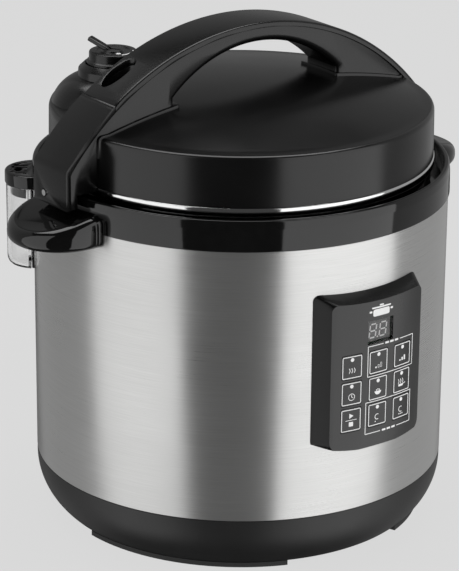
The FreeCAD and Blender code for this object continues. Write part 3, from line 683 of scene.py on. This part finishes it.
marks = turned([(12.6, KNOB_TOP - 0.02), (14.0, KNOB_TOP - 0.02), (14.0, KNOB_TOP + 0.05),
                (12.6, KNOB_TOP + 0.05)], 120)
marks = to_object(sector(marks, -100, -35), "valve_marks", white_ink)
carve(marks, rod(1.6, KNOB_TOP - 0.02, KNOB_TOP + 0.05, -2.2, -9.2, 24), how="UNION")
marks.data.transform(Matrix.Translation((VALVE[0] * MM, VALVE[1] * MM, 0)))
piece(marks, "release_knob", [])

seat = to_object(turned(soften([
    (6, 291.3), (22.8, 291.3), (22.4, 296.0, 1.2), (18.6, 299.6, 0.4), (17.9, 299.2),
    (17.9, 295.7), (6, 295.7)]), 128, VALVE), "valve_seat_ring", satin_abs)
piece(seat, "lid", ["valve_seat"])
pin = to_object(turned(soften([
    (0, 235.6), (6.2, 235.6, 0.4), (6.2, 239, 0.4), (3, 239), (3, 287, 0.9), (2.4, 288, 0.4),
    (0, 288)]), 64, PIN), "float_pin", polished_steel)
piece(pin, "float", ["float_valve"])

# %% [markdown]
# The control panel is a block that leans back on all four sides and whose face follows the
# round body. A cube is pushed into that wedge, its long edges are rolled, and only what lies
# in a thick ring round the cooker is kept. Pockets for the keys and the window come last,
# after the rim has been softened, so that their edges stay tight.

# %% Panel bezel
FACE = 146.0
KEY_W, KEY_H, KEY_PITCH, KEY_MID = 14.2, 15.8, 17.7, 123.1
KEY_TURNS = (-8.3, -0.5, 7.4)
FRONT, BACK, LEAN = 152.0, 118.0, 0.4


def wedge(inset):
    near, far = (FRONT - 142) * LEAN, (142 - BACK) * LEAN
    bm = bmesh.new()
    bmesh.ops.create_cube(bm, size=2)
    for v in bm.verts:
        grow = -near if v.co.y < 0 else far
        half = 35.5 + grow - inset
        low, high = 83.5 - 0.5 * grow + inset, 183 + 0.9 * grow - inset
        v.co = (math.copysign(half, v.co.x), -FRONT if v.co.y < 0 else -BACK,
                high if v.co.z > 0 else low)
    return bm


body = soft_edges(wedge(0), lambda m, d: abs(d.y) > 0.8 and m.z > 150, 4.0, 5)
body = soft_edges(body, lambda m, d: abs(d.y) > 0.8 and m.z < 120 and abs(d.x) < 0.6
                  and abs(m.x) > 30, 9.0, 8)
bezel = to_object(body, "panel_frame", panel_abs)
belly = rod(173, -160, 160, steps=512)
bmesh.ops.rotate(belly, verts=belly.verts, matrix=Matrix.Rotation(math.pi / 2, 3, "X"))
bmesh.ops.translate(belly, verts=belly.verts, vec=(0, 0, 256.5))
ring = turned([(135.2, 60), (FACE, 60), (FACE, 220), (135.2, 220)], 720)
carve(bezel, ring, belly, how="INTERSECT")
step = bezel.modifiers.new("rim", "BEVEL")
step.width, step.segments = 0.9 * MM, 3
step.limit_method, step.angle_limit = "ANGLE", math.radians(18)
apply_all(bezel)
hollow = to_object(wedge(2.2), "hollow")
carve(hollow, rod(FACE - 2.2, 60, 220, steps=360), how="INTERSECT")
carve(bezel, to_shape(hollow))
for turn in KEY_TURNS:
    for row in (-1, 0, 1):
        middle = KEY_MID + row * KEY_PITCH
        way = block(-KEY_W / 2 - 0.35, KEY_W / 2 + 0.35, -160, -138,
                    middle - KEY_H / 2 - 0.35, middle + KEY_H / 2 + 0.35)
        way = soft_edges(way, lambda m, d: abs(d.y) > 0.9, 1.2, 3)
        bmesh.ops.rotate(way, verts=way.verts, matrix=Matrix.Rotation(math.radians(turn), 3, "Z"))
        carve(bezel, way)
carve(bezel, block(-10, 10, -160, -138, 153.2, 168.8))
bezel.data.materials.append(panel_film)
for face in bezel.data.polygons:
    face.material_index = 1 if face.normal.y < -0.95 and abs(face.center.x) < 0.036 else 0
piece(bezel, "housing", ["panel_bezel"], 0.0, 35, 26)

# %% [markdown]
# The keys are nine film-faced caps in the same curve. Each is drawn flat, printed flat and
# then bent round the body in one move: the distance across becomes an angle. Long flat faces
# can't bend, so they are first sliced every two millimetres. The print is a real layer, a
# sixteenth of a millimetre thick. Words are replaced by plain icons built from bars, dots and
# rings, with a lamp dot at the top of every key but the start and stop key.


# %% Flat drawing and bending helpers
def plate(bm, points, low, high, material=0):
    """A flat outline in (across, up), as a solid between two depths in front of the axis."""
    part = slab(points, low, high, lambda across, up: (across, 0, up), (0, -1, 0))
    mesh = bpy.data.meshes.new("part")
    part.to_mesh(mesh)
    part.free()
    first = len(bm.faces)
    bm.from_mesh(mesh)
    bpy.data.meshes.remove(mesh)
    bm.faces.ensure_lookup_table()
    for face in bm.faces[first:]:
        face.material_index = material


def rounded(x, z, width, height, corner, steps=4):
    a, b = width / 2, height / 2
    corners = ((-a, -b), (a, -b), (a, b), (-a, b))
    return [(x + p[0], z + p[1]) for p in soften([(u, v, corner) for u, v in corners], steps)]


def dot(x, z, radius, steps=20):
    return [(x + radius * math.cos(math.tau * k / steps),
             z + radius * math.sin(math.tau * k / steps)) for k in range(steps)]


def bar(x0, z0, x1, z1, width):
    """A straight stroke from one point to another."""
    along = Vector((x1 - x0, z1 - z0)).normalized() * width / 2
    side = Vector((-along.y, along.x))
    return [(x0 - side.x, z0 - side.y), (x1 - side.x, z1 - side.y),
            (x1 + side.x, z1 + side.y), (x0 + side.x, z0 + side.y)]


INK = 0.06


def border(bm, x, z, width, height, corner, stroke, face, material=1):
    """A printed rounded frame: four sides and four corner arcs in one closed band."""
    outer = rounded(x, z, width, height, corner)
    inner = rounded(x, z, width - 2 * stroke, height - 2 * stroke, max(corner - stroke, 0.2))
    count = len(outer)
    for k in range(count):
        j = (k + 1) % count
        plate(bm, [outer[k], outer[j], inner[j], inner[k]], face, face + INK, material)


def hoop(bm, x, z, radius, stroke, face, start=0, sweep=360, steps=20):
    for k in range(steps):
        a = math.radians(start + sweep * k / steps)
        b = math.radians(start + sweep * (k + 1) / steps)
        near = radius - stroke
        plate(bm, [(x + radius * math.cos(a), z + radius * math.sin(a)),
                   (x + radius * math.cos(b), z + radius * math.sin(b)),
                   (x + near * math.cos(b), z + near * math.sin(b)),
                   (x + near * math.cos(a), z + near * math.sin(a))], face, face + INK, 1)


def bend(bm, turn=0.0, pitch=2.0):
    """Slices the flat shape and wraps it round the upright axis, turned by turn degrees."""
    bmesh.ops.remove_doubles(bm, verts=bm.verts, dist=0.001)
    low = min(v.co.x for v in bm.verts)
    high = max(v.co.x for v in bm.verts)
    count = int((high - low) / pitch) + 1
    for k in range(1, count):
        bmesh.ops.bisect_plane(bm, geom=bm.verts[:] + bm.edges[:] + bm.faces[:],
                               plane_co=(low + (high - low) * k / count, 0, 0),
                               plane_no=(1, 0, 0))
    for v in bm.verts:
        angle = v.co.x / FACE + math.radians(turn)
        v.co = (-v.co.y * math.sin(angle), v.co.y * math.cos(angle), v.co.z)
    return bm


# %% [markdown]
# Each icon is a function that draws a few plates about a middle point, so that it can be moved
# or reused: the pan borrows the steam. A level says how many bars or dots are filled.


# %% Key icons
def steam(bm, x, z, face, level=0):
    for shift in (-1.8, 0, 1.8):
        plate(bm, bar(x + shift - 0.35, z - 1.6, x + shift + 0.35, z, 0.5), face, face + INK, 1)
        plate(bm, bar(x + shift + 0.35, z, x + shift - 0.35, z + 1.6, 0.5), face, face + INK, 1)


def gauge(bm, x, z, face, level):
    for k in range(3):
        height = 1.0 + 1.1 * k
        if k < level:
            plate(bm, rounded(x - 2 + 2 * k, z - 1.9 + height / 2, 1.2, height, 0.2),
                  face, face + INK, 1)
        else:
            border(bm, x - 2 + 2 * k, z - 1.9 + height / 2, 1.2, height, 0.2, 0.22, face)


def clock(bm, x, z, face, level=0):
    hoop(bm, x, z, 2.4, 0.42, face)
    plate(bm, bar(x, z - 0.1, x, z + 1.5, 0.42), face, face + INK, 1)
    plate(bm, bar(x, z, x + 1.1, z - 0.6, 0.42), face, face + INK, 1)


def bowl(bm, x, z, face, level=0):
    half = [(x + 2.6 * math.cos(math.pi + math.pi * k / 14),
             z + 0.2 + 2.4 * math.sin(math.pi + math.pi * k / 14)) for k in range(15)]
    plate(bm, half, face, face + INK, 1)
    for shift, lift in ((-1.1, 0.9), (0, 1.4), (1.1, 0.9)):
        plate(bm, dot(x + shift, z + lift, 0.45, 12), face, face + INK, 1)


def pan(bm, x, z, face, level=0):
    plate(bm, rounded(x - 0.7, z - 0.8, 4.0, 1.5, 0.5), face, face + INK, 1)
    plate(bm, bar(x + 1.2, z - 0.4, x + 3.4, z + 0.3, 0.5), face, face + INK, 1)
    steam(bm, x - 0.7, z + 1.9, face)


def run_and_rest(bm, x, z, face, level=0):
    plate(bm, [(x - 1.3, z + 1.1), (x + 1.7, z + 2.8), (x - 1.3, z + 4.5)],
          face, face + INK, 1)
    plate(bm, bar(x - 4, z, x + 4, z, 0.4), face, face + INK, 1)
    plate(bm, rounded(x, z - 2.7, 3.0, 3.0, 0.3), face, face + INK, 1)


def moon(bm, x, z, face, level):
    hoop(bm, x, z + 0.5, 2.0, 0.5, face, 60, 240)
    for k in range(level):
        plate(bm, dot(x - 1.4 + 1.4 * k, z - 2.6, 0.45, 12), face, face + INK, 1)


ICONS = (
    (("key_start_stop", run_and_rest, 0), ("key_slow_low", moon, 1), ("key_slow_high", moon, 3)),
    (("key_timer", clock, 0), ("key_rice", bowl, 0), ("key_brown", pan, 0)),
    (("key_warm", steam, 0), ("key_pressure_low", gauge, 1), ("key_pressure_high", gauge, 3)),
)
KEY_FACE = FACE + 0.1
for row, line in enumerate(ICONS):
    for column, (name, icon, level) in enumerate(line):
        up = KEY_MID + (row - 1) * KEY_PITCH
        bm = bmesh.new()
        plate(bm, rounded(0, up, KEY_W, KEY_H, 1.2), 141.6, KEY_FACE)
        border(bm, 0, up, KEY_W - 0.2, KEY_H - 1.2, 1.1, 0.55, KEY_FACE)
        if name != "key_start_stop":
            plate(bm, dot(0, up + 4.9, 1.25), KEY_FACE, KEY_FACE + INK, 1)
        icon(bm, 0, up - (0 if name == "key_start_stop" else 2.2), KEY_FACE, level)
        bend(bm, KEY_TURNS[column])
        key = to_object(bm, name + "_cap", key_film, white_ink)
        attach(key, name)
        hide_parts(name)
        print(name, "faces", len(key.data.polygons))

# %% [markdown]
# Two thin frames are printed round the pairs of pressure keys and slow-cooking keys, each with
# three short bars for a caption, and a plain pot sits above the window. The window is smoked
# plastic over a grey module with two unlit digits, drawn as slanted strokes.

# %% Panel print, window and digits
print_mesh = bmesh.new()
LINE = 0.5
TOP_BOX = (-9.6, 28.2, 131.8, 152.0)
LOW_BOX = (-10.4, 27.4, 93.4, 114.6)
for (left, right, low, high), caption_high in ((TOP_BOX, True), (LOW_BOX, False)):
    middle = (left + right) / 2
    level, other = (high, low) if caption_high else (low, high)
    strokes = [(left, low, left, high), (right, low, right, high), (left, other, right, other),
               (left, level, middle - 7, level), (middle + 7, level, right, level)]
    for x0, z0, x1, z1 in strokes:
        plate(print_mesh, bar(x0, z0, x1, z1, LINE), FACE, FACE + INK)
    for k in (-1, 0, 1):
        plate(print_mesh, rounded(middle + k * 4, level, 3.0, 1.3, 0.3), FACE, FACE + INK)
POT_OUTLINE = ((0, 173.6, 13.0, 4.6, 1.4), (0, 177.0, 15.0, 1.0, 0.4), (0, 178.3, 3.2, 1.0, 0.4),
               (-8.3, 174.6, 2.0, 1.3, 0.4), (8.3, 174.6, 2.0, 1.3, 0.4))
for part in POT_OUTLINE:
    plate(print_mesh, rounded(*part), FACE, FACE + INK)
printing = to_object(bend(print_mesh), "panel_printing", white_ink)
piece(printing, "housing", [])

lens = bmesh.new()
plate(lens, rounded(0, 161, 19.8, 15.4, 0.5), 144.2, 145.6)
lens = to_object(bend(lens), "display_window", smoked_lens)
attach(lens, "housing")
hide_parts("display_lens")

module = to_object(soft_edges(block(-9.4, 9.4, -143.3, -138.5, 154, 168),
                              every, 0.4, 2), "digit_module", module_plastic)
piece(module, "housing", ["display_module"])
digits = bmesh.new()
WIDE, TALL, STROKE, SLANT = 5.0, 4.4, 0.9, 0.12
DIGIT_MID, LOW_FACE, HIGH_FACE = 161, 143.3, 143.4
for x in (-4.6, 3.4):
    for up in (-TALL, 0, TALL):
        lean = up * SLANT
        plate(digits, bar(x - WIDE / 2 + 0.7 + lean, DIGIT_MID + up, x + WIDE / 2 - 0.7 + lean,
                          DIGIT_MID + up, STROKE), LOW_FACE, HIGH_FACE)
    for side in (-1, 1):
        for low in (-TALL + 0.6, 0.6):
            a, b = low * SLANT, (low + TALL - 1.2) * SLANT
            plate(digits, bar(x + side * WIDE / 2 + a, DIGIT_MID + low, x + side * WIDE / 2 + b,
                              DIGIT_MID + low + TALL - 1.2, STROKE), LOW_FACE, HIGH_FACE)
plate(digits, dot(-0.9, DIGIT_MID - TALL, 0.5, 12), LOW_FACE, HIGH_FACE)
digits = to_object(digits, "unlit_digits", grey_ink)
piece(digits, "housing", [])

# %% [markdown]
# Condensate drips into a clear cup that hangs behind the left grip. The cup hugs the body, so
# it is a turned beaker with a bite taken out by the body's own cylinder, and its inside is the
# same shape made smaller. The black head above it has slots to drain.

# %% Drip cup and its head
CUP_TURN = Matrix.Rotation(math.radians(143.1), 4, "Z")
cup = to_object(turned(soften([(0, 162.7), (19, 162.7, 6), (19, 218, 0.3), (0, 218)]),
                       128, (134, 0)), "clear_drip_cup", clear_cup)
room = to_object(turned(soften([(0, 164.5), (17.4, 164.5, 5), (17.4, 240), (0, 240)]),
                        128, (134, 0)), "room")
carve(room, rod(138.8, 100, 260, steps=256))
carve(cup, rod(137.2, 100, 260, steps=256), to_shape(room))
cup.data.transform(CUP_TURN)
piece(cup, "drip_cup", ["condensation_cup"], 0.0, 35, 40)

head = to_object(turned(soften([(0, 218.5), (19.8, 218.5, 0.6), (19.8, 226.9, 1.6),
                                (15.6, 226.9, 0.4), (15.2, 226.2, 0.4), (0, 226.2)]),
                        96, (134, 0)), "drip_head", gloss_abs)
carve(head, rod(135.7, 200, 250, steps=256))
spigot = to_object(turned(soften([(0, 211), (16.3, 211, 0.8), (16.3, 218.7), (0, 218.7)]),
                          96, (134, 0)), "spigot")
carve(spigot, rod(139.6, 200, 250, steps=256))
carve(head, to_shape(spigot), how="UNION")
rail = soft_edges(block(131, 136.8, -4, 4, 159.2, 218.7), lambda m, d: m.x > 134, 0.8, 3)
carve(head, rail, how="UNION")
slots = [soft_edges(block(139, 150, y - 0.9, y + 0.9, 222.5, 240), lambda m, d: abs(d.z) > 0.9,
                    0.6, 2) for y in (-8, -4, 4, 8)]
carve(head, rod(135.05, 100, 218.4, steps=256), rod(3, 205, 240, 145, 0), *slots)
head.data.transform(CUP_TURN)
piece(head, "housing", ["cup_bracket"], 0.2, 50)

# %% [markdown]
# Under the lid are the two pots. The inner pot lifts out: thin spun steel with a rolled rim
# and level lines on its wall. The locking pot around it is cast aluminium with six lugs and a
# flange that catches drips. Both are turned; the lugs are slices of a turned ring.

# %% Inner pot, locking pot and heating plate
pot_outer = [(0, 72.5), (110.5, 72.5, 14), (110.5, 224.6, 0.6), (114.5, 224.6, 0.5),
             (114.5, 226.0, 0.6), (109.0, 226.0, 1.4), (109.0, 74.0, 12.5), (0, 74.0)]
pot = to_object(turned(soften(pot_outer, 8), 192), "lift_out_pot", spun_steel)
for level in (110, 140, 170, 200):
    carve(pot, turned([(108.85, level - 0.3), (109.2, level - 0.3), (109.2, level + 0.3),
                       (108.85, level + 0.3)], 192))
piece(pot, "cooking_pot", ["inner_pot"], 0.0, 35, 24)

casting = to_object(turned(soften([
    (80, 58), (118, 58, 12), (118, 219.6, 0.6), (131.2, 219.6), (131.2, 221.4, 0.4),
    (118, 221.4, 1.2), (118, 236, 0.6), (115.5, 236, 0.6), (115.5, 60.5, 9.5), (80, 60.5)], 6),
    192), "locking_pot_casting", cast_aluminium)
for i in range(6):
    lug = turned([(117.5, 232.5), (121.3, 232.5), (121.3, 235.5), (117.5, 235.5)], 180)
    carve(casting, sector(lug, 60 * i - LUG_HALF, 60 * i + LUG_HALF), how="UNION")
piece(casting, "housing", ["locking_pot"], 0.3, 50)

hot_plate = to_object(turned(soften([
    (13.5, 62), (70, 62), (76, 60.6, 2), (92, 60.6, 1), (92, 68.5, 4), (84, 72.2, 3),
    (13.5, 72.2, 0.8)]), 160), "heating_plate_casting", cast_aluminium)
piece(hot_plate, "housing", ["heating_plate"])

# %% [markdown]
# Everything else is small, or shows only from underneath or with the lid off, and its CAD
# mesh is already right. A carried-over node keeps its mesh and only takes a finish.

# %% Finishes for carried-over nodes
FINISHES = {
    base_abs: ("base_plate", "inlet_case"),
    foot_rubber: ("feet",),
    zinc_steel: ("base_screws", "support_posts", "pot_cradle", "lid_screws", "sensor_bracket",
                 "sensor_spring", "inlet_pins"),
    cast_aluminium: ("sensor_cap", "heating_element"),
    polished_steel: ("lock_pin", "valve_stem", "valve_nut", "valve_shield"),
    seal_silicone: ("float_gasket",),
    board_resin: ("power_board", "control_board", "key_board"),
    grey_nylon: ("pressure_switch", "thermal_fuse", "board_standoffs"),
}
for material, names in FINISHES.items():
    for name in names:
        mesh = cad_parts[name].data
        mesh.materials.clear()
        mesh.materials.append(material)
print("carried over", sum(len(names) for names in FINISHES.values()))

# %% [markdown]
# The studio is a pale floor and tall soft panels. Polished and brushed surfaces show whatever
# stands around them, so the panels are placed by angle: one either side of the camera with a
# dark gap between, a dim one beyond each, a faint one behind, and one overhead. They are plain
# glowing sheets, which makes their brightness easy to state. The floor glows a little too, so
# that it stays an even pale grey, and it is left out of reflections, so that the lower body
# reflects the panels alone. The panels reach below the floor for the same reason.


# %% Floor, light panels and camera
def glow(name, colour, strength):
    made = bpy.data.materials.new(name)
    made.use_nodes = True
    made.node_tree.nodes.clear()
    shine = add(made.node_tree, "ShaderNodeEmission", {
        "Color": tone(colour), "Strength": strength})
    add(made.node_tree, "ShaderNodeOutputMaterial", {"Surface": shine.outputs[0]})
    return made


def sheet_of_light(name, width, height, place, face_to, strength):
    bm = bmesh.new()
    bmesh.ops.create_grid(bm, x_segments=1, y_segments=1, size=0.5)
    bmesh.ops.scale(bm, verts=bm.verts, vec=(width, height, 1))
    mesh = bpy.data.meshes.new(name)
    bm.to_mesh(mesh)
    bm.free()
    mesh.materials.append(glow(name, "#ffffff", strength))
    made = bpy.data.objects.new(name, mesh)
    scene.collection.objects.link(made)
    made.location = place
    made.rotation_euler = (Vector(face_to) - Vector(place)).to_track_quat("Z", "Y").to_euler()
    made.visible_camera = False
    made.visible_shadow = False
    made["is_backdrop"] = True
    return made


CAMERA_TURN = -36.777


def round_studio(turn, reach, height):
    """A place at an angle from the camera's own direction, positive to its right."""
    a = math.radians(CAMERA_TURN + turn)
    return (reach * math.sin(a), -reach * math.cos(a), height)


AIM = (0, 0, 0.15)
sheet_of_light("left_panel", 1.73, 4.6, round_studio(-57.5, 1.7, 0.1), AIM, 1.3)
sheet_of_light("right_panel", 2.2, 4.6, round_studio(55, 1.7, 0.1), AIM, 1.6)
sheet_of_light("left_fill", 2.7, 4.6, round_studio(-118, 1.9, 0.1), AIM, 0.34)
sheet_of_light("right_fill", 2.7, 4.6, round_studio(124, 1.9, 0.1), AIM, 0.40)
sheet_of_light("back_panel", 3.0, 2.4, round_studio(180, 2.4, 0.6), AIM, 0.2)
sheet_of_light("top_panel", 2.0, 1.3, (0.25, 0.5, 2.1), AIM, 3.4)

floor_bm = bmesh.new()
bmesh.ops.create_circle(floor_bm, cap_ends=True, segments=96, radius=9.0)
floor_mesh = bpy.data.meshes.new("studio_floor")
floor_bm.to_mesh(floor_mesh)
floor_bm.free()
floor_paint = bpy.data.materials.new("floor_paint")
floor_paint.use_nodes = True
floor_shader = floor_paint.node_tree.nodes["Principled BSDF"]
floor_shader.inputs["Base Color"].default_value = tone("#3c3c3c")
floor_shader.inputs["Roughness"].default_value = 1.0
floor_shader.inputs["Specular IOR Level"].default_value = 0.0
floor_shader.inputs["Emission Color"].default_value = tone("#d9d9d9")
floor_shader.inputs["Emission Strength"].default_value = 0.96
floor_mesh.materials.append(floor_paint)
floor = bpy.data.objects.new("studio_floor", floor_mesh)
floor.location.z = -0.0005
scene.collection.objects.link(floor)
floor.visible_glossy = False
floor.visible_shadow = False
floor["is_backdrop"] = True

world = bpy.data.worlds.new("studio")
scene.world = world
world.use_nodes = True
world.node_tree.nodes["Background"].inputs["Color"].default_value = tone("#ffffff")
world.node_tree.nodes["Background"].inputs["Strength"].default_value = 0.06
scene.view_settings.view_transform = "Standard"

lens_data = bpy.data.cameras.new("camera")
lens_data.lens = 174.7
lens_data.sensor_width = 36.0
camera = bpy.data.objects.new("camera", lens_data)
scene.collection.objects.link(camera)
tilt = (Matrix.Rotation(math.radians(CAMERA_TURN), 4, "Z")
        @ Matrix.Rotation(math.radians(69.895), 4, "X") @ Matrix.Rotation(0.0091, 4, "Z"))
camera.matrix_world = Matrix.Translation((-1.0349, -1.3733, 0.7764)) @ tilt
scene.camera = camera

# %% Sizes and finish
low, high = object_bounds()
print("visual box", [round(v, 4) for v in low], [round(v, 4) for v in high])
